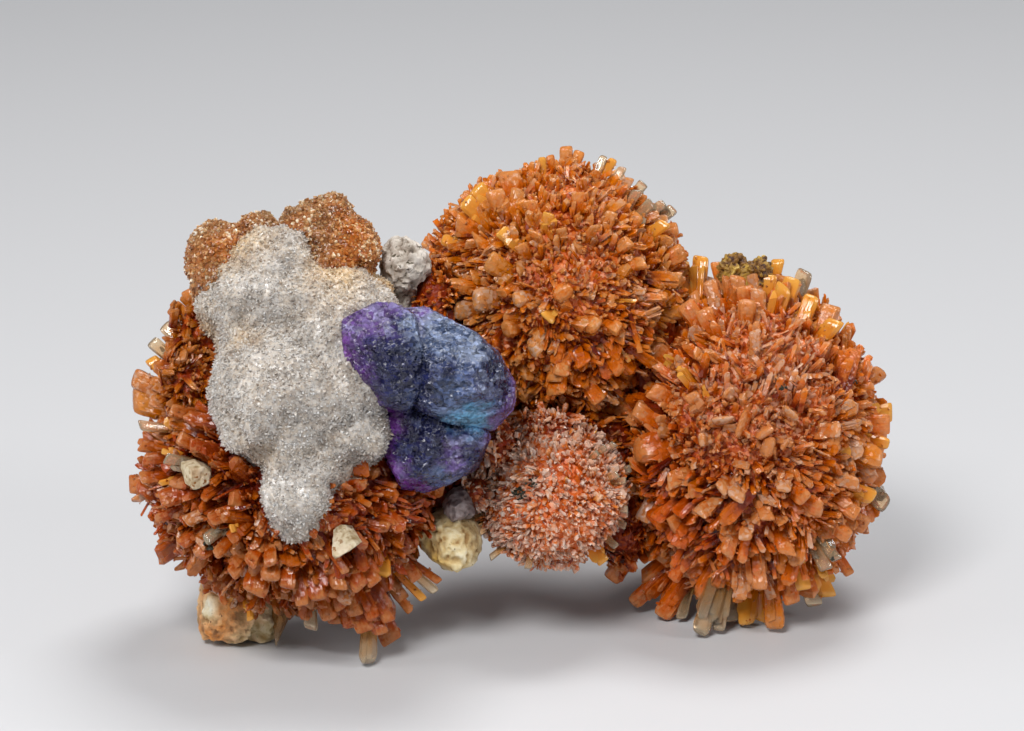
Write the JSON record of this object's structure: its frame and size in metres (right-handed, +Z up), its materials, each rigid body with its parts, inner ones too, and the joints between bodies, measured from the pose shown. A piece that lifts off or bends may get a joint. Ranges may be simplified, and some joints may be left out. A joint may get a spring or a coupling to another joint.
{
  "type": "creedite mineral specimen",
  "caption": "Free-standing cabinet specimen: intergrown balls of radiating orange creedite blades with a white drusy quartz crust and purple to blue fluorite.",
  "frame": {"origin": "on the surface it stands on, under the middle of its bounding box", "axes": "+X from the quartz-covered ball to the largest ball, +Z up, -Y to the displayed front"},
  "size_m": [0.0806, 0.0454, 0.049],
  "materials": {
    "creedite_ball_left": "gloss",
    "creedite_ball_top": "gloss",
    "creedite_ball_right": "gloss",
    "creedite_ball_small": "gloss",
    "quartz_crust": "gloss",
    "sugar_knob_left": "satin",
    "sugar_knob_right": "satin",
    "fluorite": "satin",
    "grey_matrix_stone": "matte",
    "cream_matrix_stone": "matte",
    "grey_quartz_chip": "satin",
    "stained_matrix_stone": "matte",
    "cream_chip_left": "matte",
    "cream_chip_low": "matte",
    "ochre_crust": "matte"
  },
  "bodies": {
    "root": {"creedite_ball_left": "creedite_ball_left", "creedite_ball_top": "creedite_ball_top", "creedite_ball_right": "creedite_ball_right", "creedite_ball_small": "creedite_ball_small", "quartz_crust": "quartz_crust", "sugar_knob_left": "sugar_knob_left", "sugar_knob_right": "sugar_knob_right", "fluorite": "fluorite", "grey_matrix_stone": "grey_matrix_stone", "cream_matrix_stone": "cream_matrix_stone", "grey_quartz_chip": "grey_quartz_chip", "stained_matrix_stone": "stained_matrix_stone", "cream_chip_left": "cream_chip_left", "cream_chip_low": "cream_chip_low", "ochre_crust": "ochre_crust"}
  },
  "joints": []
}
